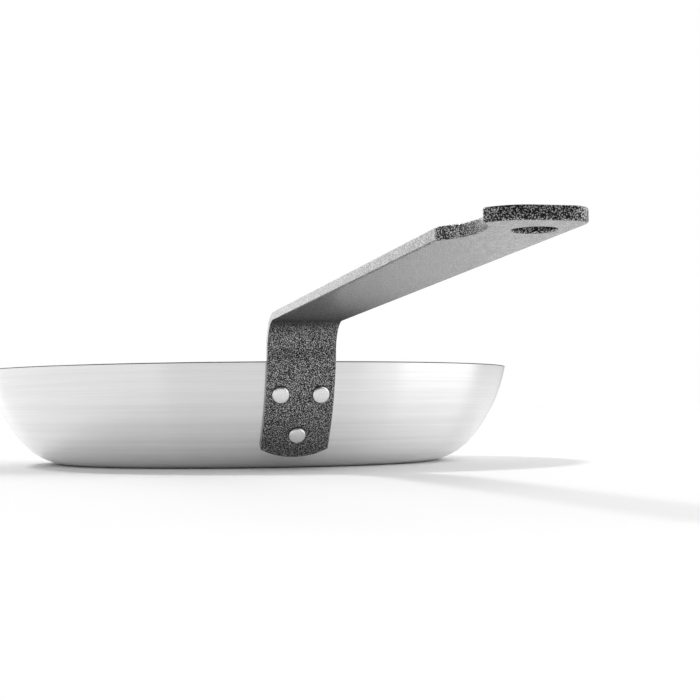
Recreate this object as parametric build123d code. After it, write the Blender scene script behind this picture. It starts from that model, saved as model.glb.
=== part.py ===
"""Omelette pan: a pressed aluminium bowl and a steel strip handle, joined by three rivets.

Frame, in millimetres: the origin is on the pan's axis at the flat underside, +Z is up and the handle
runs out along +X. Left and right are as seen from the end of the handle, so left is -Y.
"""
import os
from math import acos, asin, atan2, cos, degrees, hypot, radians, sin, tan

from build123d import *
from build123d.topology import SkipClean

# Pan: outer shape of the pressed bowl
rim_radius = 110.0
pan_height = 39.5
wall_flare = 34.5
heel_radius = 26.0
heel_sweep = 49.0
wall_thickness = 3.5
rim_chamfer = 0.8

# Handle: one length of flat steel strip, with its coating counted in
strip_width = 25.3
strip_thickness = 3.3

# Lower end of the strip, seated on the outside of the wall
seat_start_angle = 42.3
end_radius = 21.3

# Neck above the rim, bend and grip
neck_flare = 0.1
bend_radius = 10.3
grip_above_rim = 13.5
grip_slope = 1.9
grip_length = 240.5

# Tip of the grip: wide round on its left corner, smaller one on its right, thumb notch in the left edge
tip_left_radius = 12.0
tip_right_radius = 5.2
notch_radius = 21.0
notch_depth = 5.85
notch_from_tip = 17.7
notch_shoulder_radius = 2.5
notch_cusp_radius = 1.2
hang_hole_radius = 5.0
hang_hole_from_tip = 14.2
hang_hole_offset = 4.1

# Rivets: solid aluminium, wide low head inside, small worked head outside
rivet_shank_radius = 2.5
rivet_outer_head_radius = 3.2
rivet_outer_head_height = 1.5
rivet_outer_head_chamfer = 0.7
rivet_inner_head_radius = 5.5
rivet_inner_head_height = 1.6
rivet_inner_head_chamfer = 0.9
upper_rivet_height_share = 0.694
upper_rivet_offset = 7.4
lower_rivet_above_heel = 1.4

# How far a cutting solid runs past what it cuts
overrun = 5.0


base_radius = rim_radius - wall_flare
grip_height = pan_height + grip_above_rim


def chord_to_rim():
    """Radius and end angle of the upper wall arc, which leaves the heel in line and meets the rim."""
    sweep = radians(heel_sweep)
    run = rim_radius - base_radius - heel_radius * sin(sweep)
    rise = pan_height - heel_radius * (1 - cos(sweep))
    end_angle = 2 * atan2(rise, run) - sweep
    return hypot(run, rise) / (2 * sin((end_angle - sweep) / 2)), end_angle


wall_radius, rim_angle = chord_to_rim()
wall_centre_x = base_radius - (wall_radius - heel_radius) * sin(radians(heel_sweep))
wall_centre_z = heel_radius + (wall_radius - heel_radius) * cos(radians(heel_sweep))


def heel_point(angle, outward=0.0):
    """A point of the heel arc, moved outwards from the bowl's outer face; the angle is in radians."""
    reach = heel_radius + outward
    return (base_radius + reach * sin(angle), heel_radius - reach * cos(angle))


def wall_point(angle, outward=0.0):
    """A point of the upper wall arc, moved outwards from the bowl's outer face."""
    reach = wall_radius + outward
    return (wall_centre_x + reach * sin(angle), wall_centre_z - reach * cos(angle))


def wall_angle_at(height, outward=0.0):
    """The angle at which the moved wall arc is at a height."""
    return acos((wall_centre_z - height) / (wall_radius + outward))


def arcs(point, angles, outward):
    """Arcs of the bowl's profile from each angle to the next, moved outwards from its outer face."""
    edges = []
    for start, end in zip(angles, angles[1:]):
        places = [point(angle, outward) for angle in (start, (start + end) / 2, end)]
        edges.append(ThreePointArc(*[(x, 0, z) for x, z in places]))
    return edges


def halved(start, end):
    """An angle's two ends with its middle between them."""
    return (start, (start + end) / 2, end)


def sector(outline, turn):
    """The part of a turned solid that lies on the handle's side, as wide as an angle in degrees."""
    return revolve(outline, Axis.Z, turn).rotate(Axis.Z, -turn / 2)


def bowl_solid(outward, mouth_chamfer=0.0):
    """Solid of revolution inside the bowl's profile, moved outwards, with its mouth at the rim's height.

    The sector behind the strap, which takes the holes for the rivets, has faces of its own.
    """
    sweep = radians(heel_sweep)
    heel = arcs(heel_point, (0, sweep), outward)
    wall_top = pan_height - mouth_chamfer
    wall = arcs(wall_point, halved(sweep, wall_angle_at(wall_top, outward)), outward)
    edge = wall[-1] @ 1
    mouth = Vector(edge.X + mouth_chamfer, 0, pan_height)
    lip = [Line(edge, mouth)] if mouth_chamfer else []
    axis = Line((0, 0, pan_height), (0, 0, -outward))
    outline = make_face([axis, Line(axis @ 1, heel[0] @ 0), *heel, *wall, *lip, Line(mouth, axis @ 0)])
    strap_turn = degrees(2 * asin(strip_width / 2 / rim_radius))
    far_side = revolve(outline, Axis.Z, 360 - strap_turn).rotate(Axis.Z, strap_turn / 2)
    return sector(outline, strap_turn) + far_side


def make_pan_body():
    """The pressed aluminium bowl, one gauge thick all over, with a small chamfer inside its rim."""
    return bowl_solid(0) - bowl_solid(-wall_thickness, rim_chamfer)


def rivet_plane(angle, offset):
    """Plane on the outer face of the strap, square to the wall at one of its angles, moved sideways."""
    reach, height = wall_point(angle, strip_thickness)
    turn = asin(offset / reach)
    outward = (sin(angle) * cos(turn), sin(angle) * sin(turn), -cos(angle))
    return Plane(origin=(reach * cos(turn), reach * sin(turn), height), z_dir=outward)


def lower_rivet_angle():
    """Wall angle of the lower rivet, whose inner head stays a clearance above the end of the heel."""
    along_wall = rivet_inner_head_radius + lower_rivet_above_heel
    return radians(heel_sweep) + along_wall / (wall_radius - wall_thickness)


upper_rivet_angle = wall_angle_at(pan_height * upper_rivet_height_share, strip_thickness)
rivet_planes = {
    "rivet_upper_left": rivet_plane(upper_rivet_angle, -upper_rivet_offset),
    "rivet_upper_right": rivet_plane(upper_rivet_angle, upper_rivet_offset),
    "rivet_lower": rivet_plane(lower_rivet_angle(), 0),
}


def make_rivet(plane):
    """One rivet, turned from its section: outer head, shank through strap and wall, and inner head.

    The inside of the wall is hollow, so the flat inner head bears on it at the head's edge.
    """
    hollow_radius = wall_radius - wall_thickness
    hollow = hollow_radius - (hollow_radius ** 2 - rivet_inner_head_radius ** 2) ** 0.5
    seat = -strip_thickness - wall_thickness - hollow
    end = seat - rivet_inner_head_height
    section = Polyline(
        (0, 0, rivet_outer_head_height),
        (rivet_outer_head_radius - rivet_outer_head_chamfer, 0, rivet_outer_head_height),
        (rivet_outer_head_radius, 0, rivet_outer_head_height - rivet_outer_head_chamfer),
        (rivet_outer_head_radius, 0, 0),
        (rivet_shank_radius, 0, 0),
        (rivet_shank_radius, 0, seat),
        (rivet_inner_head_radius, 0, seat),
        (rivet_inner_head_radius, 0, end + rivet_inner_head_chamfer),
        (rivet_inner_head_radius - rivet_inner_head_chamfer, 0, end),
        (0, 0, end),
        close=True,
    )
    return plane * revolve(make_face(section), Axis.Z)


def rivet_hole(plane):
    """Cutter for the holes that one rivet fills, through strap and wall."""
    depth = strip_thickness + wall_thickness + overrun
    return extrude(plane.offset(-depth) * Circle(rivet_shank_radius), depth + overrun)


def make_seat():
    """The part of the strap that is formed to the wall, from its rounded lower end up to the rim."""
    sweep = radians(heel_sweep)
    start = radians(seat_start_angle) / 2
    outer_top = wall_angle_at(pan_height, strip_thickness)
    inner = arcs(heel_point, (start, sweep), 0) + arcs(wall_point, halved(sweep, rim_angle), 0)
    outer = arcs(wall_point, halved(outer_top, sweep), strip_thickness)
    outer += arcs(heel_point, (sweep, start), strip_thickness)
    top = Line(inner[-1] @ 1, outer[0] @ 0)
    bottom = Line(outer[-1] @ 1, inner[0] @ 0)
    ring = sector(make_face([*inner, top, *outer, bottom]), degrees(4 * asin(strip_width / 2 / base_radius)))
    ring &= Box(4 * rim_radius, strip_width, 4 * pan_height)
    return ring - make_end_trim()


def make_end_trim():
    """Cutter that rounds the strap's lower end, square to its outer face."""
    angle = radians(seat_start_angle)
    x, z = heel_point(angle, strip_thickness)
    outer_face = Plane(origin=(x, 0, z), x_dir=(0, 1, 0), z_dir=(sin(angle), 0, -cos(angle)))
    below = Location((0, end_radius)) * Rectangle(
        strip_width + 2 * overrun, 2 * end_radius + 2 * overrun, align=(Align.CENTER, Align.MAX))
    sketch = below - Location((0, end_radius)) * Circle(end_radius)
    return extrude(outer_face * sketch, strip_thickness + overrun, both=True)


seat_face_radius = wall_point(wall_angle_at(pan_height, strip_thickness), strip_thickness)[0]
upright_face_x = seat_face_radius + neck_flare
bend_tangent = bend_radius * tan(radians(90 - grip_slope) / 2)
bend_start = grip_height - bend_tangent


def seat_section():
    """Level slice of the strap at the rim, curved about the pan's axis."""
    half_width = strip_width / 2

    def across(radius):
        """Arc of a circle about the pan's axis, from the strap's left side to its right side."""
        side_x = (radius ** 2 - half_width ** 2) ** 0.5
        ends = [(side_x, -half_width, pan_height), (side_x, half_width, pan_height)]
        return ThreePointArc(ends[0], (radius, 0, pan_height), ends[1])

    back = across(rim_radius)
    face = across(seat_face_radius)
    return make_face([back, Line(back @ 1, face @ 1), face, Line(face @ 0, back @ 0)])


def upright_section():
    """Level slice of the strap where the bend starts, flat across."""
    place = Location((upright_face_x, 0, bend_start))
    return place * Rectangle(strip_thickness, strip_width, align=(Align.MAX, Align.CENTER))


def make_neck():
    """Short piece above the rim, where the strap loses the wall's curve and becomes flat."""
    return loft([seat_section(), upright_section()], ruled=True)


def make_bend():
    """The bend from the upright strap into the grip."""
    axis = Axis((upright_face_x + bend_radius, 0, bend_start), (0, 1, 0))
    return revolve(upright_section(), axis, 90 - grip_slope)


def grip_plane():
    """Plane of the grip's underside: its origin is at the bend's corner, its x runs to the tip."""
    slope = radians(grip_slope)
    return Plane(origin=(upright_face_x, 0, grip_height),
                 x_dir=(cos(slope), 0, sin(slope)), z_dir=(-sin(slope), 0, cos(slope)))


def nearest_corner(outline, point):
    """The corner of an outline that lies nearest to a point."""
    return outline.vertices().sort_by_distance(point)[0]


def notch_corners(cut, uncut):
    """The two corners that the notch made: the one nearest to the tip first."""
    made = [corner for corner in cut.vertices()
            if nearest_corner(uncut, corner).distance_to(corner) > notch_cusp_radius]
    return sorted(made, key=lambda corner: corner.X, reverse=True)


def grip_outline():
    """Outline of the grip in its own plane, x along it and y across, with notch and hanging hole."""
    length = grip_length - bend_tangent
    outline = Location((bend_tangent, 0)) * Rectangle(length, strip_width, align=(Align.MIN, Align.CENTER))
    tip_left, tip_right = outline.vertices().group_by(Axis.X)[-1].sort_by(Axis.Y)
    outline = fillet(tip_left, tip_left_radius)
    outline = fillet(nearest_corner(outline, tip_right), tip_right_radius)
    notch = Location((grip_length - notch_from_tip, notch_depth - notch_radius - strip_width / 2))
    cut = outline - notch * Circle(notch_radius)
    cusp, shoulder = notch_corners(cut, outline)
    cut = fillet(shoulder, notch_shoulder_radius)
    cut = fillet(nearest_corner(cut, cusp), notch_cusp_radius)
    return cut - Location((grip_length - hang_hole_from_tip, hang_hole_offset)) * Circle(hang_hole_radius)


def make_grip():
    """The flat grip, cut to its outline from the strip."""
    return extrude(grip_plane() * grip_outline(), strip_thickness)


def make_handle():
    """The whole strip: seat, neck, bend and grip in one piece."""
    return make_seat() + make_neck() + make_bend() + make_grip()


def build():
    """All the pieces, by node name. Faces that meet in line stay separate faces."""
    with SkipClean():
        body = make_pan_body()
        handle = make_handle()
        for plane in rivet_planes.values():
            body -= rivet_hole(plane)
            handle -= rivet_hole(plane)
    pieces = {name: make_rivet(plane) for name, plane in rivet_planes.items()}
    return pieces | {"pan_body": body, "handle": handle}


os.makedirs("parts", exist_ok=True)
for node, piece in build().items():
    export_step(piece, f"parts/{node}.step")
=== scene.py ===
"""Looks of an omelette pan: a turned aluminium bowl, a strip handle in hammertone coating and three rivets.

Everything is in metres in the frame of the construction: the origin is on the pan's axis at its flat
underside, +Z is up and the handle runs out along +X. Left is -Y, as seen from the end of the handle.
"""
import logging
from dataclasses import dataclass, field
from enum import Enum
from math import acos, asin, atan2, cos, hypot, pi, radians, sin, sqrt, tan
from typing import Iterator, Sequence

import bpy
import numpy as np
from mathutils import Matrix, Vector


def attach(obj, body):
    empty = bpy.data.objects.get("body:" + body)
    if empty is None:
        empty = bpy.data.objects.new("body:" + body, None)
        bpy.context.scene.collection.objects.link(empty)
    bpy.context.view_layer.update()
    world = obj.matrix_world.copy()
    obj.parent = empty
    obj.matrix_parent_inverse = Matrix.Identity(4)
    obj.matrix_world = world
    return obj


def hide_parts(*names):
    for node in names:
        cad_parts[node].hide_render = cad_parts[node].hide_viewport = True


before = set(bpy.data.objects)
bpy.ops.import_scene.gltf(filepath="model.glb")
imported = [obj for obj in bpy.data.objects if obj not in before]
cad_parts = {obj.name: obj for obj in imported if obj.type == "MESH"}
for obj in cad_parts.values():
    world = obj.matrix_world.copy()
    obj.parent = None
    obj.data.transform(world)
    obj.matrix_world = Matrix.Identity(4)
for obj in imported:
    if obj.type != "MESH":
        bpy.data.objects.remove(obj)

log = logging.getLogger("omelette_pan")

SEED_SIZE = 0.001
MERGE_DISTANCE = 1e-6
WHITE = (1.0, 1.0, 1.0, 1.0)
NOISE_MIDDLE = 0.5

# Numbers of a Mix node's colour sockets, whose names its other sockets have too
MIX_FIRST = 6
MIX_SECOND = 7
MIX_RESULT = 2

Point2 = tuple[float, float]
Point3 = tuple[float, float, float]
Colour = tuple[float, float, float]
Span = tuple[float, float]


class RivetPlace(Enum):
    """The three rivets, each by the name of its node in the construction."""

    UPPER_LEFT = "rivet_upper_left"
    UPPER_RIGHT = "rivet_upper_right"
    LOWER = "rivet_lower"


class Finish(Enum):
    """Material slots of the record, one for each finish of the pieces."""

    TURNED_ALUMINIUM = "turned_aluminium"
    NONSTICK = "nonstick_coating"
    HAMMERTONE = "hammertone_coating"
    RIVET = "rivet_aluminium"


# Shader building


@dataclass(frozen=True)
class Grain:
    """One noise: its cells in a metre, its number of finer layers and their strength."""

    cells: float
    layers: float
    strength: float = 0.5


@dataclass(frozen=True)
class Relief:
    """How strongly a height bends the normal, and the metres that a height of 1 stands for."""

    strength: float
    depth: float


class Wire:
    """An output socket of a shader node; arithmetic on it adds the Math nodes it needs."""

    def __init__(self, bench: "Bench", socket: bpy.types.NodeSocket) -> None:
        """Keeps the socket and the bench it belongs to."""
        self.bench = bench
        self.socket = socket

    def math(self, operation: str, first: object, second: object, clamp: bool = False) -> "Wire":
        """Adds one Math node.

        Args:
            operation: Blender's name of the operation.
            first: a Wire or a number.
            second: a Wire or a number.
            clamp: True keeps the result from 0 to 1.

        Returns:
            The node's result.
        """
        settings = {"operation": operation, "use_clamp": clamp}
        return self.bench.add("ShaderNodeMath", settings, {0: first, 1: second})

    def __add__(self, other: object) -> "Wire":
        """self + other."""
        return self.math("ADD", self, other)

    def __radd__(self, other: object) -> "Wire":
        """other + self."""
        return self.math("ADD", other, self)

    def __sub__(self, other: object) -> "Wire":
        """self - other."""
        return self.math("SUBTRACT", self, other)

    def __rsub__(self, other: object) -> "Wire":
        """other - self."""
        return self.math("SUBTRACT", other, self)

    def __mul__(self, other: object) -> "Wire":
        """self * other."""
        return self.math("MULTIPLY", self, other)

    def __rmul__(self, other: object) -> "Wire":
        """other * self."""
        return self.math("MULTIPLY", other, self)

    def clamped(self) -> "Wire":
        """The value kept from 0 to 1."""
        return self.math("ADD", self, 0.0, clamp=True)

    def root(self) -> "Wire":
        """The square root."""
        return self.math("POWER", self, 0.5)

    def about(self, middle: float, spread: float) -> "Wire":
        """A noise moved to vary about a middle, over a spread."""
        return middle + (self - NOISE_MIDDLE) * spread

    def steps(self, low: float, high: float) -> "Wire":
        """A soft step: 0 below low, 1 above high."""
        sockets = {"Value": self, "From Min": low, "From Max": high}
        return self.bench.add("ShaderNodeMapRange", {"interpolation_type": "SMOOTHSTEP"}, sockets)


class Bench:
    """The node tree of one material or world, with short ways to add to it."""

    def __init__(self, tree: bpy.types.NodeTree) -> None:
        """Starts with an empty tree."""
        self.tree = tree
        tree.nodes.clear()

    def node(self, kind: str, settings: dict[str, object], sockets: dict[object, object]) -> bpy.types.Node:
        """Adds a node with its settings first and its inputs after them.

        Args:
            kind: the node's type.
            settings: properties by name.
            sockets: inputs by name or number, each a Wire or a value.

        Returns:
            The node.
        """
        node = self.tree.nodes.new(kind)
        for name, value in settings.items():
            setattr(node, name, value)
        for key, value in sockets.items():
            if isinstance(value, Wire):
                self.tree.links.new(value.socket, node.inputs[key])
            else:
                node.inputs[key].default_value = value
        return node

    def add(self, kind: str, settings: dict[str, object], sockets: dict[object, object],
            output: object = 0) -> Wire:
        """Adds a node as node() does and returns one of its outputs."""
        return Wire(self, self.node(kind, settings, sockets).outputs[output])

    def place(self) -> Wire:
        """Object coordinates, which are the row frame in metres."""
        return self.add("ShaderNodeTexCoord", {}, {}, "Object")

    def noise(self, vector: Wire, grain: Grain) -> Wire:
        """Noise of a grain, from 0 to 1 about its middle, read at a vector."""
        sockets = {
            "Vector": vector,
            "Scale": grain.cells,
            "Detail": grain.layers,
            "Roughness": grain.strength,
        }
        return self.add("ShaderNodeTexNoise", {"noise_dimensions": "3D"}, sockets)

    def blend(self, factor: object, first: object, second: object) -> Wire:
        """The colour between first and second; a colour is a Wire or three numbers."""
        def full(colour: object) -> object:
            """A colour as its socket takes it."""
            return colour if isinstance(colour, Wire) else (*colour, 1.0)

        sockets = {0: factor, MIX_FIRST: full(first), MIX_SECOND: full(second)}
        return self.add("ShaderNodeMix", {"data_type": "RGBA"}, sockets, MIX_RESULT)

    def bump(self, height: Wire, relief: Relief) -> Wire:
        """A normal bent by a height."""
        sockets = {"Height": height, "Strength": relief.strength, "Distance": relief.depth}
        return self.add("ShaderNodeBump", {}, sockets)

    def surface(self, shader: Wire) -> None:
        """Makes a shader the material's surface."""
        self.node("ShaderNodeOutputMaterial", {}, {"Surface": shader})


def new_material(name: str) -> tuple[bpy.types.Material, Bench]:
    """A new material and the bench of its nodes."""
    material = bpy.data.materials.new(name)
    material.use_nodes = True
    return material, Bench(material.node_tree)


# Finishes


@dataclass(frozen=True)
class TurnedAluminium:
    """Bare aluminium of the bowl, with fine lines turned round its axis."""

    light: Colour = (0.93, 0.93, 0.93)
    dark: Colour = (0.85, 0.85, 0.855)
    roughness: float = 0.34
    roughness_spread: float = 0.10
    anisotropy: float = 1.0
    anisotropy_turn: float = 0.25
    lines_per_metre: float = 1500.0
    arc_cells_per_metre: float = 14.0
    fine: Grain = Grain(1.0, 4.0, 0.65)
    coarse: Grain = Grain(0.16, 2.0)
    fine_share: float = 0.6
    tone_step: Span = (0.36, 0.64)
    relief: Relief = Relief(0.25, 0.00001)

    def ring_place(self, bench: Bench) -> Wire:
        """Coordinates that change fast up the wall and across the base, and slowly round the axis."""
        parts = bench.node("ShaderNodeSeparateXYZ", {}, {0: bench.place()}).outputs
        across, along, height = (Wire(bench, part) for part in parts)
        radius = (across * across + along * along).root()
        sockets = {
            0: across * self.arc_cells_per_metre,
            1: along * self.arc_cells_per_metre,
            2: (radius + height) * self.lines_per_metre,
        }
        return bench.add("ShaderNodeCombineXYZ", {}, sockets)

    def make(self) -> bpy.types.Material:
        """Builds the material."""
        material, bench = new_material("turned_aluminium")
        rings = self.ring_place(bench)
        fine = bench.noise(rings, self.fine)
        coarse = bench.noise(rings, self.coarse)
        lines = fine * self.fine_share + coarse * (1 - self.fine_share)
        sockets = {
            "Base Color": bench.blend(lines.steps(*self.tone_step), self.dark, self.light),
            "Metallic": 1.0,
            "Roughness": lines.about(self.roughness, self.roughness_spread),
            "Anisotropic": self.anisotropy,
            "Anisotropic Rotation": self.anisotropy_turn,
            "Normal": bench.bump(fine, self.relief),
        }
        bench.surface(bench.add("ShaderNodeBsdfPrincipled", {}, sockets))
        return material


@dataclass(frozen=True)
class NonstickCoating:
    """Dark non-stick coating of the bowl's inside, with a fine sprayed speckle."""

    ground: Colour = (0.030, 0.030, 0.032)
    fleck: Colour = (0.075, 0.075, 0.078)
    roughness: float = 0.36
    roughness_spread: float = 0.12
    spray: Grain = Grain(900.0, 3.0, 0.6)
    cloud: Grain = Grain(60.0, 2.0)
    fleck_step: Span = (0.52, 0.72)
    relief: Relief = Relief(0.3, 0.00002)

    def make(self) -> bpy.types.Material:
        """Builds the material."""
        material, bench = new_material("nonstick_coating")
        place = bench.place()
        spray = bench.noise(place, self.spray)
        cloud = bench.noise(place, self.cloud)
        sockets = {
            "Base Color": bench.blend(spray.steps(*self.fleck_step), self.ground, self.fleck),
            "Roughness": cloud.about(self.roughness, self.roughness_spread),
            "Normal": bench.bump(spray, self.relief),
        }
        bench.surface(bench.add("ShaderNodeBsdfPrincipled", {}, sockets))
        return material


@dataclass(frozen=True)
class HammertoneCoating:
    """Grey hammertone coating of the handle: small dark pits and worms in a bright metallic net."""

    pit: Colour = (0.001, 0.001, 0.001)
    net: Colour = (0.045, 0.045, 0.046)
    glint: Colour = (0.45, 0.45, 0.455)
    metallic: float = 1.0
    roughness: float = 0.38
    thin_coat: float = 0.70
    coat_roughness: float = 0.26
    coat_ior: float = 1.38
    worms: Grain = Grain(3300.0, 0.0)
    dimples: Grain = Grain(500.0, 1.0)
    net_step: Span = (0.46, 0.54)
    glint_step: Span = (0.54, 0.64)
    coat_step: Span = (0.35, 0.65)
    relief: Relief = Relief(0.30, 0.00004)
    pattern_turn: Point3 = (0.62, 0.41, 0.95)

    def make(self) -> bpy.types.Material:
        """Builds the material."""
        material, bench = new_material("hammertone_coating")
        place = bench.add("ShaderNodeMapping", {}, {"Vector": bench.place(), "Rotation": self.pattern_turn})
        worms = bench.noise(place, self.worms)
        dimples = bench.noise(place, self.dimples)
        cover = worms.steps(*self.net_step)
        ground = bench.blend(cover, self.pit, self.net)
        sockets = {
            "Base Color": bench.blend(worms.steps(*self.glint_step), ground, self.glint),
            "Metallic": self.metallic,
            "Roughness": self.roughness,
            "Coat Weight": self.thin_coat + dimples.steps(*self.coat_step) * (1 - self.thin_coat),
            "Coat Roughness": self.coat_roughness,
            "Coat IOR": self.coat_ior,
            "Normal": bench.bump(cover, self.relief),
        }
        bench.surface(bench.add("ShaderNodeBsdfPrincipled", {}, sockets))
        return material


@dataclass(frozen=True)
class RivetAluminium:
    """Bright aluminium of the rivets, with the small dents of the setting tool."""

    light: Colour = (0.80, 0.80, 0.80)
    dark: Colour = (0.62, 0.62, 0.625)
    roughness: float = 0.26
    roughness_spread: float = 0.12
    dents: Grain = Grain(700.0, 2.0)
    grain: Grain = Grain(3500.0, 2.0)
    tone_step: Span = (0.30, 0.60)
    relief: Relief = Relief(0.35, 0.0001)

    def make(self) -> bpy.types.Material:
        """Builds the material."""
        material, bench = new_material("rivet_aluminium")
        place = bench.place()
        dents = bench.noise(place, self.dents)
        grain = bench.noise(place, self.grain)
        sockets = {
            "Base Color": bench.blend(grain.steps(*self.tone_step), self.dark, self.light),
            "Metallic": 1.0,
            "Roughness": grain.about(self.roughness, self.roughness_spread),
            "Normal": bench.bump(dents, self.relief),
        }
        bench.surface(bench.add("ShaderNodeBsdfPrincipled", {}, sockets))
        return material


@dataclass(frozen=True)
class StudioWhite:
    """Matt white of the floor, with painted light: an emission that, from a little way off the pan, makes
    the floor evenly bright all over in reflections (painted reflection), and, farther off, brightens the
    floor the camera sees, fading the cast shadows there.
    """

    colour: Colour = (0.94, 0.94, 0.94)
    painted_reflection_glow: float = 0.85
    painted_reflection_reach: Span = (0.080, 0.150)
    painted_light_glow: float = 0.55
    painted_light_reach: Span = (0.16, 0.31)

    def make(self) -> bpy.types.Material:
        """Builds the material."""
        material, bench = new_material("studio_white")
        matt = bench.add("ShaderNodeBsdfDiffuse", {}, {"Color": (*self.colour, 1.0)})
        painted_glow = bench.add("ShaderNodeEmission", {}, {"Color": WHITE, "Strength": 1.0})
        distance = bench.add("ShaderNodeVectorMath", {"operation": "LENGTH"}, {0: bench.place()}, "Value")
        rays = bench.node("ShaderNodeLightPath", {}, {}).outputs
        glossy, camera = (Wire(bench, rays[kind]) for kind in ("Is Glossy Ray", "Is Camera Ray"))
        # Painted reflection: from a little way off the pan, glossy rays see the floor as even white
        # emission instead of its cast shadows.
        mirrored = glossy * distance.steps(*self.painted_reflection_reach) * self.painted_reflection_glow
        # Painted light: farther from the pan the camera sees emission mixed into the floor, which lightens
        # the cast shadows of pan and grip there.
        seen = camera * distance.steps(*self.painted_light_reach) * self.painted_light_glow
        bench.surface(bench.add("ShaderNodeMixShader", {}, {0: mirrored + seen, 1: matt, 2: painted_glow}))
        return material


# Modelling with operators


def edit(piece: bpy.types.Object) -> None:
    """Makes a piece the only selected one and opens it in edit mode, with all of it selected."""
    select_only(piece)
    bpy.ops.object.mode_set(mode="EDIT")
    bpy.ops.mesh.select_mode(type="VERT")
    bpy.ops.mesh.select_all(action="SELECT")


def close_edit() -> None:
    """Goes back to object mode."""
    bpy.ops.object.mode_set(mode="OBJECT")


def select_only(piece: bpy.types.Object) -> None:
    """Deselects everything and makes one piece active and selected."""
    bpy.ops.object.select_all(action="DESELECT")
    piece.select_set(True)
    bpy.context.view_layer.objects.active = piece


def add_square(name: str, size: float, middle: Point3 = (0.0, 0.0, 0.0)) -> bpy.types.Object:
    """Adds a level square, with nothing else left selected.

    Args:
        name: the new object's name.
        size: length of its sides, in metres.
        middle: where it lies.

    Returns:
        The new object.
    """
    bpy.ops.object.select_all(action="DESELECT")
    bpy.ops.mesh.primitive_plane_add(size=size, location=middle)
    square = bpy.context.active_object
    square.name = name
    return square


def draw_line(name: str, points: Sequence[Vector]) -> bpy.types.Object:
    """Draws a chain of edges as by hand: one point, extruded from place to place.

    Args:
        name: the new object's name.
        points: the chain's points in order, in metres.

    Returns:
        The new object, in object mode.
    """
    piece = add_square(name, SEED_SIZE)
    piece.data.name = name
    edit(piece)
    bpy.ops.mesh.merge(type="CENTER")
    bpy.ops.transform.translate(value=points[0])
    for here, there in zip(points, points[1:]):
        bpy.ops.mesh.extrude_region_move(TRANSFORM_OT_translate={"value": there - here})
    close_edit()
    return piece


def turn_section(name: str, section: Sequence[Point2], steps: int) -> bpy.types.Object:
    """Turns a section about Z into a closed solid.

    Args:
        name: the new object's name.
        section: (radius, height) points from the axis and back to it.
        steps: number of faces round the axis.

    Returns:
        The turned piece, in object mode.
    """
    piece = draw_line(name, [Vector((radius, 0.0, height)) for radius, height in section])
    edit(piece)
    bpy.ops.mesh.spin(steps=steps, angle=2 * pi, center=(0.0, 0.0, 0.0), axis=(0.0, 0.0, 1.0))
    bpy.ops.mesh.select_all(action="SELECT")
    bpy.ops.mesh.remove_doubles(threshold=MERGE_DISTANCE)
    bpy.ops.mesh.normals_make_consistent(inside=False)
    close_edit()
    return piece


def smooth(piece: bpy.types.Object, crease: float) -> None:
    """Shades a piece smooth, and sharp where faces meet at more than the crease angle."""
    select_only(piece)
    bpy.ops.object.shade_smooth_by_angle(angle=crease)
    modifier = piece.modifiers.new("even_normals", "WEIGHTED_NORMAL")
    modifier.keep_sharp = True
    bpy.ops.object.modifier_apply(modifier=modifier.name)


def cut_away(piece: bpy.types.Object, cutter: bpy.types.Object) -> None:
    """Cuts one piece's space out of another and removes the cutter."""
    select_only(piece)
    modifier = piece.modifiers.new("cut", "BOOLEAN")
    modifier.operation = "DIFFERENCE"
    modifier.solver = "EXACT"
    modifier.object = cutter
    bpy.ops.object.modifier_apply(modifier=modifier.name)
    bpy.data.objects.remove(cutter)


def round_cutter(name: str, radius: float, length: float, place: Matrix,
                 sides: int = 64) -> bpy.types.Object:
    """Adds a round bar that cut_away() can take.

    Args:
        name: the new object's name.
        radius: of the bar.
        length: of the bar, along the place's Z.
        place: where its middle is and how it is turned.
        sides: number of its flat faces.

    Returns:
        The new object.
    """
    bpy.ops.object.select_all(action="DESELECT")
    bpy.ops.mesh.primitive_cylinder_add(vertices=sides, radius=radius, depth=length)
    cutter = bpy.context.active_object
    cutter.name = name
    cutter.data.transform(place)
    return cutter


def arc(centre: Point2, radius: float, start: float, end: float, steps: int) -> list[Point2]:
    """Points of an arc from one angle to another, both in radians and both ends counted in."""
    angles = [start + (end - start) * step / steps for step in range(steps + 1)]
    return [(centre[0] + radius * cos(angle), centre[1] + radius * sin(angle)) for angle in angles]


def dress(piece: bpy.types.Object, material: bpy.types.Material, finish: Finish) -> None:
    """Gives a piece its one material."""
    piece.data.materials.clear()
    piece.data.materials.append(material)


def report(piece: bpy.types.Object) -> None:
    """Logs a piece and its number of faces."""
    log.info("%s: %d faces", piece.name, len(piece.data.polygons))


# The bowl


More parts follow.
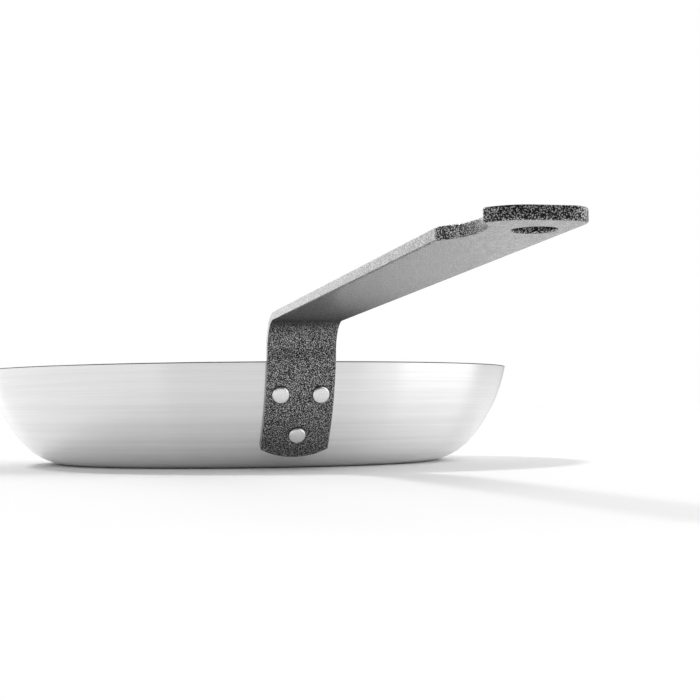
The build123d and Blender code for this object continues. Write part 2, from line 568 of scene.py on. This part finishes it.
@dataclass(frozen=True)
class BowlShape:
    """Outer shape of the pressed bowl: flat base, heel arc and upper wall arc, as constructed."""

    rim_radius: float = 0.110
    height: float = 0.0395
    wall_flare: float = 0.0345
    heel_radius: float = 0.026
    heel_sweep: float = radians(49.0)
    gauge: float = 0.0035
    heel_steps: int = 18
    wall_steps: int = 22

    @property
    def base_radius(self) -> float:
        """Radius of the flat underside."""
        return self.rim_radius - self.wall_flare

    @property
    def rim_angle(self) -> float:
        """Angle of the wall arc at the rim."""
        return 2 * atan2(self._rise, self._run) - self.heel_sweep

    @property
    def wall_radius(self) -> float:
        """Radius of the upper wall arc."""
        return hypot(self._run, self._rise) / (2 * sin((self.rim_angle - self.heel_sweep) / 2))

    @property
    def _run(self) -> float:
        """Level distance from the end of the heel to the rim."""
        return self.rim_radius - self.base_radius - self.heel_radius * sin(self.heel_sweep)

    @property
    def _rise(self) -> float:
        """Height of the rim over the end of the heel."""
        return self.height - self.heel_radius * (1 - cos(self.heel_sweep))

    def heel_point(self, angle: float, outward: float = 0.0) -> Point2:
        """(radius, height) on the heel arc, moved outwards from the outer face."""
        reach = self.heel_radius + outward
        return (self.base_radius + reach * sin(angle), self.heel_radius - reach * cos(angle))

    @property
    def wall_centre(self) -> Point2:
        """(radius, height) of the upper wall arc's centre."""
        offset = self.wall_radius - self.heel_radius
        sweep = self.heel_sweep
        return (self.base_radius - offset * sin(sweep), self.heel_radius + offset * cos(sweep))

    def wall_point(self, angle: float, outward: float = 0.0) -> Point2:
        """(radius, height) on the upper wall arc, moved outwards from the outer face."""
        reach = self.wall_radius + outward
        return (self.wall_centre[0] + reach * sin(angle), self.wall_centre[1] - reach * cos(angle))

    def wall_angle_at(self, height: float, outward: float = 0.0) -> float:
        """Angle at which the moved wall arc is at a height."""
        return acos((self.wall_centre[1] - height) / (self.wall_radius + outward))

    def rising(self, outward: float, top: float) -> list[Point2]:
        """The profile from the axis up to a height.

        Args:
            outward: how far it is moved outwards from the outer face.
            top: the height where it ends.

        Returns:
            (radius, height) points from the axis to the top.
        """
        heel = [self.heel_sweep * step / self.heel_steps for step in range(self.heel_steps + 1)]
        turn = self.wall_angle_at(top, outward) - self.heel_sweep
        wall = [self.heel_sweep + turn * step / self.wall_steps for step in range(1, self.wall_steps + 1)]
        points = [(0.0, -outward), (self.base_radius / 2, -outward)]
        points += [self.heel_point(angle, outward) for angle in heel]
        points += [self.wall_point(angle, outward) for angle in wall]
        return points


@dataclass
class Bowl:
    """The pressed bowl and the dark coating that lines it and laps its rim."""

    shape: BowlShape
    lining: float = 0.00016
    rim_chamfer: float = 0.0008
    rim_round: float = 0.0002
    rim_round_steps: int = 4
    steps: int = 256
    crease: float = radians(30.0)
    pieces: list[bpy.types.Object] = field(default_factory=list)

    def lip(self, top: float, outward: float) -> list[Point2]:
        """The rim from its outer edge over the flat to the inner chamfer's upper edge.

        Args:
            top: height of the flat.
            outward: place of the inner face, moved outwards from the outer one.

        Returns:
            (radius, height) points from outside to inside.
        """
        low = top - self.rim_round
        outer = self.shape.wall_point(self.shape.wall_angle_at(low))[0]
        inner_angle = self.shape.wall_angle_at(top - self.rim_chamfer, outward)
        inner = self.shape.wall_point(inner_angle, outward)[0]
        rounded = arc((outer - self.rim_round, low), self.rim_round, 0.0, pi / 2, self.rim_round_steps)
        return rounded + [(inner + self.rim_chamfer, top)]

    def body_section(self) -> list[Point2]:
        """Closed section of the aluminium under its lining."""
        inward = self.lining - self.shape.gauge
        top = self.shape.height - self.lining
        outside = self.shape.rising(0.0, top - self.rim_round)
        inside = self.shape.rising(inward, top - self.rim_chamfer)
        return outside[:-1] + self.lip(top, inward) + inside[::-1]

    def lining_section(self) -> list[Point2]:
        """Closed section of the coating, from the floor of the bowl over the rim."""
        under = self.lining - self.shape.gauge
        top = self.shape.height
        below = self.shape.rising(under, top - self.lining - self.rim_chamfer)
        lip = self.lip(top - self.lining, under)
        outer_edge = (lip[0][0], lip[0][1] + self.lining)
        face = self.lip(top, -self.shape.gauge)
        above = self.shape.rising(-self.shape.gauge, top - self.rim_chamfer)
        return below + lip[::-1] + [outer_edge] + face[1:] + above[::-1]

    def build(self) -> None:
        """Turns both pieces."""
        body = turn_section("bowl", self.body_section(), self.steps)
        lining = turn_section("nonstick_lining", self.lining_section(), self.steps)
        self.pieces = [body, lining]

    def drill(self, rivets: "Rivets") -> None:
        """Drills the holes of the rivets through wall and lining."""
        for piece in self.pieces:
            for place in rivets.places().values():
                cut_away(piece, round_cutter("drill", rivets.shank_radius, 2 * rivets.depth, place))

    def finish(self) -> None:
        """Shades, dresses and mounts the pieces."""
        body, lining = self.pieces
        for piece in self.pieces:
            smooth(piece, self.crease)
            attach(piece, "root")
        dress(body, TurnedAluminium().make(), Finish.TURNED_ALUMINIUM)
        dress(lining, NonstickCoating().make(), Finish.NONSTICK)
        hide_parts("pan_body")
        for piece in self.pieces:
            report(piece)


# The handle


@dataclass(frozen=True)
class Run:
    """One straight or bent stretch of the strip: its length and its turn to the left, in radians."""

    length: float
    turn: float = 0.0

    def follow(self, start: np.ndarray, heading: float, parts: np.ndarray) -> tuple[np.ndarray, np.ndarray]:
        """Places and headings along the stretch.

        Args:
            start: (radius, height) where it starts.
            heading: its direction there, in radians.
            parts: distances from its start.

        Returns:
            The place, as one row, and the heading at each distance.
        """
        if not self.turn:
            return start + np.outer(parts, (cos(heading), sin(heading))), np.full(len(parts), heading)
        bend = self.turn / self.length
        turned = heading + bend * parts
        moved = np.column_stack((np.sin(turned) - sin(heading), cos(heading) - np.cos(turned)))
        return start + moved / bend, turned


@dataclass
class StripHandle:
    """One length of flat strip: seated on the wall, upright over the rim, bent out into the grip."""

    shape: BowlShape
    width: float = 0.0253
    thickness: float = 0.0033
    seat_start: float = radians(42.3)
    end_radius: float = 0.0213
    neck_flare: float = 0.0001
    bend_radius: float = 0.0103
    grip_above_rim: float = 0.0135
    grip_slope: float = radians(1.9)
    grip_length: float = 0.2405
    tip_left_radius: float = 0.012
    tip_right_radius: float = 0.0052
    notch_radius: float = 0.021
    notch_depth: float = 0.00585
    notch_from_tip: float = 0.0177
    shoulder_radius: float = 0.0025
    cusp_radius: float = 0.0012
    hang_hole_radius: float = 0.005
    hang_hole_from_tip: float = 0.0142
    hang_hole_offset: float = 0.0041
    edge_round: float = 0.0005
    row_pitch: float = 0.0009
    column_pitch: float = 0.0021
    corner_steps: int = 8
    notch_steps: int = 44
    tip_steps: int = 20
    end_steps: int = 40
    hang_hole_steps: int = 72
    crease: float = radians(40.0)
    piece: bpy.types.Object | None = None

    @property
    def bend_tangent(self) -> float:
        """Distance from the bend's corner to where the bend starts or ends."""
        return self.bend_radius * tan((pi / 2 - self.grip_slope) / 2)

    def runs(self) -> list[Run]:
        """The strip's stretches along its visible face, from the lower end to the tip."""
        sweep = self.shape.heel_sweep
        top_angle = self.shape.wall_angle_at(self.shape.height, self.thickness)
        heel = (self.shape.heel_radius + self.thickness) * (sweep - self.seat_start)
        wall = (self.shape.wall_radius + self.thickness) * (top_angle - sweep)
        neck_radius = self.neck_flare / (1 - sin(top_angle))
        neck_rise = neck_radius * cos(top_angle)
        upright = self.grip_above_rim - self.bend_tangent - neck_rise
        bend_turn = pi / 2 - self.grip_slope
        return [
            Run(heel, sweep - self.seat_start),
            Run(wall, top_angle - sweep),
            Run(neck_radius * (pi / 2 - top_angle), pi / 2 - top_angle),
            Run(upright),
            Run(self.bend_radius * bend_turn, -bend_turn),
            Run(self.grip_length - self.bend_tangent),
        ]

    @property
    def formed_length(self) -> float:
        """Length of the strip up to the end of the bend."""
        return sum(run.length for run in self.runs()[:-1])

    @property
    def corner_shift(self) -> float:
        """What is added to a distance from the bend's corner to get a distance along the strip."""
        return self.formed_length - self.bend_tangent

    def outline(self) -> list[Point2]:
        """Outline of the flat blank, (along, across), anticlockwise, with the notch in its left edge."""
        half = self.width / 2
        length = self.grip_length
        notch = (length - self.notch_from_tip, self.notch_depth - self.notch_radius - half)
        shoulder_reach = self.notch_radius + self.shoulder_radius
        shoulder_rise = self.shoulder_radius - half - notch[1]
        shoulder = (notch[0] - sqrt(shoulder_reach ** 2 - shoulder_rise ** 2), self.shoulder_radius - half)
        corner = (length - self.tip_left_radius, self.tip_left_radius - half)
        cusp = self.cusp_centre(notch, corner)
        tight = (length - self.tip_right_radius, half - self.tip_right_radius)

        def bearing(of: Point2, seen_from: Point2) -> float:
            """Angle at which one point is seen from another."""
            return atan2(of[1] - seen_from[1], of[0] - seen_from[0])

        at_shoulder = bearing(notch, shoulder)
        at_cusp = bearing(cusp, corner)
        from_shoulder = bearing(shoulder, notch)
        from_cusp = bearing(cusp, notch)
        grip = arc(shoulder, self.shoulder_radius, -pi / 2, at_shoulder, self.corner_steps)
        grip += arc(notch, self.notch_radius, from_shoulder, from_cusp, self.notch_steps)[1:]
        grip += arc(cusp, self.cusp_radius, bearing(notch, cusp), at_cusp, self.corner_steps)[1:]
        grip += arc(corner, self.tip_left_radius, at_cusp, 0.0, self.tip_steps)[1:]
        grip += arc(tight, self.tip_right_radius, 0.0, pi / 2, self.corner_steps)
        points = [(along + self.corner_shift, across) for along, across in grip]
        spread = asin(half / self.end_radius)
        end_centre = (self.end_radius, 0.0)
        return points + arc(end_centre, self.end_radius, pi - spread, pi + spread, self.end_steps)

    def cusp_centre(self, notch: Point2, corner: Point2) -> Point2:
        """Centre of the small round between the notch and the tip's left corner.

        Args:
            notch: centre of the notch.
            corner: centre of the corner's round.

        Returns:
            The centre, on the tip's side of the line between the two.
        """
        apart = hypot(corner[0] - notch[0], corner[1] - notch[1])
        reach = self.notch_radius + self.cusp_radius
        inner = self.tip_left_radius - self.cusp_radius
        ahead = (reach ** 2 - inner ** 2 + apart ** 2) / (2 * apart)
        aside = sqrt(reach ** 2 - ahead ** 2)
        unit = ((corner[0] - notch[0]) / apart, (corner[1] - notch[1]) / apart)
        along = notch[0] + ahead * unit[0] + aside * unit[1]
        return (along, notch[1] + ahead * unit[1] - aside * unit[0])

    def build_blank(self) -> None:
        """Cuts the flat blank: outline, thickness, hanging hole and rounded edges."""
        outline = [Vector((along, across, 0.0)) for along, across in self.outline()]
        blank = draw_line("handle_strip", outline)
        edit(blank)
        bpy.ops.mesh.edge_face_add()
        bpy.ops.mesh.extrude_region_move(TRANSFORM_OT_translate={"value": (0.0, 0.0, self.thickness)})
        bpy.ops.mesh.select_all(action="SELECT")
        bpy.ops.mesh.normals_make_consistent(inside=False)
        close_edit()
        along = self.grip_length - self.hang_hole_from_tip + self.corner_shift
        place = Matrix.Translation((along, self.hang_hole_offset, self.thickness / 2))
        length = 3 * self.thickness
        punch = round_cutter("punch", self.hang_hole_radius, length, place, self.hang_hole_steps)
        cut_away(blank, punch)
        edit(blank)
        bpy.ops.mesh.select_all(action="DESELECT")
        bpy.ops.mesh.select_mode(type="EDGE")
        bpy.ops.mesh.edges_select_sharp(sharpness=radians(35.0))
        bpy.ops.mesh.bevel(offset=self.edge_round, segments=3, profile=0.5, affect="EDGES")
        close_edit()
        self.piece = blank

    def row_places(self) -> Iterator[tuple[Vector, Vector]]:
        """Planes that divide the blank where it is formed: across it and, in its width, along it."""
        rows = int(self.formed_length / self.row_pitch)
        for row in range(1, rows + 1):
            yield Vector((row * self.formed_length / rows, 0.0, 0.0)), Vector((1.0, 0.0, 0.0))
        columns = int(self.width / self.column_pitch)
        for column in range(1, columns):
            across = column * self.width / columns - self.width / 2
            yield Vector((0.0, across, 0.0)), Vector((0.0, 1.0, 0.0))

    def divide(self) -> None:
        """Cuts the rows and columns in which the blank can be formed."""
        edit(self.piece)
        for place, normal in self.row_places():
            bpy.ops.mesh.select_all(action="SELECT")
            bpy.ops.mesh.bisect(plane_co=place, plane_no=normal)
        close_edit()

    def form(self) -> None:
        """Presses the blank to its path and its lower end to the round of the wall.

        No operator follows a path and a cone at once, so the blank's points are moved by the map itself.
        """
        mesh = self.piece.data
        flat = np.empty(len(mesh.vertices) * 3, dtype=np.float64)
        mesh.vertices.foreach_get("co", flat)
        flat = flat.reshape(-1, 3)
        along, across, depth = flat.T
        place = np.zeros((len(along), 2))
        angle = np.full(len(along), self.seat_start)
        start_point = np.array(self.shape.heel_point(self.seat_start, self.thickness))
        start, heading = 0.0, self.seat_start
        for run in self.runs():
            inside = along >= start - MERGE_DISTANCE
            place[inside], angle[inside] = run.follow(start_point, heading, along[inside] - start)
            ends, headings = run.follow(start_point, heading, np.array([run.length]))
            start_point, heading = ends[0], headings[0]
            start += run.length
        x = place[:, 0] - depth * np.sin(angle)
        z = place[:, 1] + depth * np.cos(angle)
        rise = np.clip((z - self.shape.height) / self.grip_above_rim, 0.0, 1.0)
        flatness = rise * rise * (3 - 2 * rise)
        curved = np.sqrt(x ** 2 - across ** 2)
        x = np.where(along < self.formed_length, curved + (x - curved) * flatness, x)
        mesh.vertices.foreach_set("co", np.column_stack((x, across, z)).ravel())
        mesh.update()

    def drill(self, rivets: "Rivets") -> None:
        """Drills the holes of the rivets, each with a shallow recess round the head."""
        for place in rivets.places().values():
            cut_away(self.piece, round_cutter("drill", rivets.shank_radius, 2 * rivets.depth, place))
            recess = rivets.outer_radius + rivets.recess_gap
            cut_away(self.piece, round_cutter("recess", recess, 2 * rivets.recess_depth, place))

    def build(self) -> None:
        """Cuts, divides and forms the strip."""
        self.build_blank()
        self.divide()
        self.form()

    def finish(self) -> None:
        """Shades, dresses and mounts the strip."""
        smooth(self.piece, self.crease)
        dress(self.piece, HammertoneCoating().make(), Finish.HAMMERTONE)
        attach(self.piece, "root")
        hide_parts("handle")
        report(self.piece)


# The rivets


@dataclass
class Rivets:
    """Three solid rivets: small rounded outer heads, shanks, and wide low heads inside the bowl."""

    shape: BowlShape
    strip: float = 0.0033
    shank_radius: float = 0.0025
    outer_radius: float = 0.0032
    outer_height: float = 0.0015
    inner_radius: float = 0.0055
    inner_height: float = 0.0016
    upper_height_share: float = 0.694
    upper_offset: float = 0.0074
    lower_above_heel: float = 0.0014
    edge_round: float = 0.0009
    inner_edge_round: float = 0.0010
    crown: float = 0.00025
    recess_depth: float = 0.0008
    recess_gap: float = 0.0003
    head_steps: int = 6
    steps: int = 72
    crease: float = radians(45.0)

    @property
    def stack(self) -> float:
        """Thickness of strip and wall together."""
        return self.strip + self.shape.gauge

    @property
    def depth(self) -> float:
        """How deep a hole for a rivet reaches from the strip's face."""
        return self.stack + self.inner_height

    def head(self, radius: float, height: float, edge: float) -> list[Point2]:
        """Profile of a low head over a level seat.

        Args:
            radius: of the whole head.
            height: at its middle.
            edge: radius of the round between its slightly domed face and its side.

        Returns:
            (radius, height) points from the middle to the lower edge.
        """
        flat = radius - edge
        shares = [step / self.head_steps for step in range(self.head_steps)]
        face = [(flat * share, height - self.crown * share ** 2) for share in shares]
        round_edge = arc((flat, height - self.crown - edge), edge, pi / 2, 0.0, self.head_steps)
        return face + round_edge + [(radius, 0.0)]

    def section(self) -> list[Point2]:
        """Section of one rivet from its inner head to its outer head, from the axis and back."""
        hollow_radius = self.shape.wall_radius - self.shape.gauge
        hollow = hollow_radius - sqrt(hollow_radius ** 2 - self.inner_radius ** 2)
        seat = -self.stack - hollow
        inner_head = self.head(self.inner_radius, self.inner_height, self.inner_edge_round)
        inner = [(radius, seat - height) for radius, height in inner_head]
        outer = self.head(self.outer_radius, self.outer_height, self.edge_round)[::-1]
        shank = [(self.shank_radius, seat), (self.shank_radius, -self.recess_depth)]
        shank.append((self.outer_radius, -self.recess_depth))
        ends = ((0.0, inner[0][1]), (0.0, outer[-1][1]))
        return [ends[0], *inner[1:], *shank, *outer[:-1], ends[1]]

    def places(self) -> dict[RivetPlace, Matrix]:
        """Each rivet's place: on the strip's outer face, with Z square to it, outwards."""
        upper = self.shape.wall_angle_at(self.shape.height * self.upper_height_share, self.strip)
        along_wall = self.inner_radius + self.lower_above_heel
        lower = self.shape.heel_sweep + along_wall / (self.shape.wall_radius - self.shape.gauge)
        return {
            RivetPlace.UPPER_LEFT: self.place_at(upper, -self.upper_offset),
            RivetPlace.UPPER_RIGHT: self.place_at(upper, self.upper_offset),
            RivetPlace.LOWER: self.place_at(lower, 0.0),
        }

    def place_at(self, angle: float, offset: float) -> Matrix:
        """The place at a wall angle and a sideways offset."""
        reach, height = self.shape.wall_point(angle, self.strip)
        turn = asin(offset / reach)
        outward = Vector((sin(angle) * cos(turn), sin(angle) * sin(turn), -cos(angle)))
        turned = outward.to_track_quat("Z", "Y").to_matrix().to_4x4()
        return Matrix.Translation((reach * cos(turn), reach * sin(turn), height)) @ turned

    def build(self) -> None:
        """Turns one rivet, copies it to the three places, and shades, dresses and mounts the copies."""
        pattern = turn_section("rivet_pattern", self.section(), self.steps)
        material = RivetAluminium().make()
        for where, place in self.places().items():
            rivet = pattern.copy()
            rivet.data = pattern.data.copy()
            rivet.name = where.value.replace("rivet", "set_rivet")
            rivet.data.transform(place)
            bpy.context.scene.collection.objects.link(rivet)
            smooth(rivet, self.crease)
            dress(rivet, material, Finish.RIVET)
            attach(rivet, "root")
            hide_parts(where.value)
            report(rivet)
        bpy.data.objects.remove(pattern)


# Studio and camera


@dataclass(frozen=True)
class PhotoCamera:
    """The camera at the photograph's place: low, in front of the grip, looking slightly up."""

    location: Point3 = (0.6522016, -0.1132632, 0.0222582)
    right: Point3 = (0.23563643, 0.97178746, -0.01022774)
    up: Point3 = (0.03941698, 0.00095876, 0.99922239)
    lens: float = 78.785
    sensor_width: float = 36.0
    clip_start: float = 0.01

    def build(self) -> None:
        """Adds the camera and makes it the scene's own."""
        right, up = Vector(self.right), Vector(self.up)
        back = right.cross(up)
        turned = Matrix((right, up, back)).transposed().to_4x4()
        data = bpy.data.cameras.new("photo_camera")
        data.lens = self.lens
        data.sensor_width = self.sensor_width
        data.clip_start = self.clip_start
        camera = bpy.data.objects.new("photo_camera", data)
        camera.matrix_world = Matrix.Translation(self.location) @ turned
        bpy.context.scene.collection.objects.link(camera)
        bpy.context.scene.camera = camera


@dataclass(frozen=True)
class Lamp:
    """A distant lamp: the way its light travels, its strength and how wide it is seen."""

    name: str
    travel: Point3
    strength: float
    spread: float
    mirrored: bool = True
    distance: float = 1.5

    def build(self) -> None:
        """Adds the lamp."""
        data = bpy.data.lights.new(self.name, "SUN")
        data.energy = self.strength
        data.angle = self.spread
        lamp = bpy.data.objects.new(self.name, data)
        lamp.rotation_euler = Vector(self.travel).to_track_quat("-Z", "Y").to_euler()
        lamp.location = -self.distance * Vector(self.travel)
        lamp.visible_glossy = self.mirrored
        bpy.context.scene.collection.objects.link(lamp)


def hang_card(card: bpy.types.Object, strength: float) -> None:
    """Gives a card its plain glow, shows it in reflections only and leaves it to the stage."""
    material, bench = new_material(card.name)
    bench.surface(bench.add("ShaderNodeEmission", {}, {"Color": WHITE, "Strength": strength}))
    card.data.materials.append(material)
    card.visible_camera = False
    card.visible_diffuse = False
    card.visible_transmission = False
    card.visible_shadow = False


@dataclass(frozen=True)
class Card:
    """An upright card beside the pan that only reflections show, between two azimuths in degrees."""

    name: str
    start: float
    end: float
    strength: float
    bottom: float = 0.0
    top: float = 1.6
    distance: float = 1.2

    def build(self) -> None:
        """Adds the card."""
        card = add_square(self.name, 1.0)
        width = 2 * self.distance * tan(radians(self.end - self.start) / 2)
        turned = Matrix.Rotation(radians(self.start + self.end) / 2, 4, "Z")
        moved = Matrix.Translation((self.distance, 0.0, (self.top + self.bottom) / 2))
        upright = Matrix.Rotation(-pi / 2, 4, "Y")
        grown = Matrix.Diagonal((self.top - self.bottom, width, 1.0, 1.0))
        card.data.transform(turned @ moved @ upright @ grown)
        hang_card(card, self.strength)


@dataclass(frozen=True)
class OverheadCard:
    """A level card over the pan that only reflections show."""

    name: str
    middle: Point3
    size: float
    strength: float

    def build(self) -> None:
        """Adds the card."""
        hang_card(add_square(self.name, self.size, self.middle), self.strength)


@dataclass(frozen=True)
class Studio:
    """Matt white floor with painted light away from the pan, white surroundings, three distant lamps, and
    cards that shape the reflections.
    """

    floor_size: float = 60.0
    floor_drop: float = 0.00002
    ambient: float = 0.45
    lamps: tuple[Lamp, ...] = (
        Lamp("key", (1.0, 0.50, -1.0), 1.20, radians(7.0)),
        Lamp("back", (1.0, 0.0, -0.8), 0.75, radians(60.0), mirrored=False),
        Lamp("fill_right", (0.35, -1.0, -0.50), 1.75, radians(70.0), mirrored=False),
    )
    cards: tuple[Card | OverheadCard, ...] = (
        Card("bright_card_right", 56.0, 102.0, 2.0),
        Card("grey_card_far_right", 106.0, 160.0, 0.50),
        Card("grey_card_front", -46.0, 40.0, 0.48),
        Card("bright_card_back_left", -180.0, -148.0, 1.7, top=0.8),
        OverheadCard("dark_card_above", (0.0, -0.8, 1.0), 1.8, 0.15),
    )

    def build(self) -> None:
        """Adds the floor, the world, the lamps and the cards."""
        self.build_floor()
        self.build_world()
        for fitting in (*self.lamps, *self.cards):
            fitting.build()
        bpy.context.scene.view_settings.view_transform = "Standard"

    def build_floor(self) -> None:
        """Adds the floor just under the pan."""
        floor = add_square("floor", self.floor_size, (0.0, 0.0, -self.floor_drop))
        floor.data.materials.append(StudioWhite().make())

    def build_world(self) -> None:
        """White to the camera and in reflections, and a plain soft light for everything else."""
        world = bpy.data.worlds.new("studio_world")
        world.use_nodes = True
        bpy.context.scene.world = world
        bench = Bench(world.node_tree)
        rays = bench.node("ShaderNodeLightPath", {}, {}).outputs
        kinds = ("Is Camera Ray", "Is Glossy Ray", "Is Transmission Ray")
        camera, glossy, through = (Wire(bench, rays[kind]) for kind in kinds)
        seen = (camera + glossy + through).clamped()
        soft = bench.add("ShaderNodeBackground", {}, {"Color": WHITE, "Strength": self.ambient})
        bright = bench.add("ShaderNodeBackground", {}, {"Color": WHITE, "Strength": 1.0})
        mixed = bench.add("ShaderNodeMixShader", {}, {0: seen, 1: soft, 2: bright})
        bench.node("ShaderNodeOutputWorld", {}, {"Surface": mixed})


def main() -> None:
    """Builds the pieces in order, then the studio and the camera."""
    logging.basicConfig(level=logging.INFO, format="%(name)s %(message)s")
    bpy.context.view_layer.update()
    shape = BowlShape()
    rivets = Rivets(shape)
    bowl = Bowl(shape)
    bowl.build()
    bowl.drill(rivets)
    bowl.finish()
    handle = StripHandle(shape)
    handle.build()
    handle.drill(rivets)
    handle.finish()
    rivets.build()
    Studio().build()
    PhotoCamera().build()


if __name__ == "__main__":
    main()
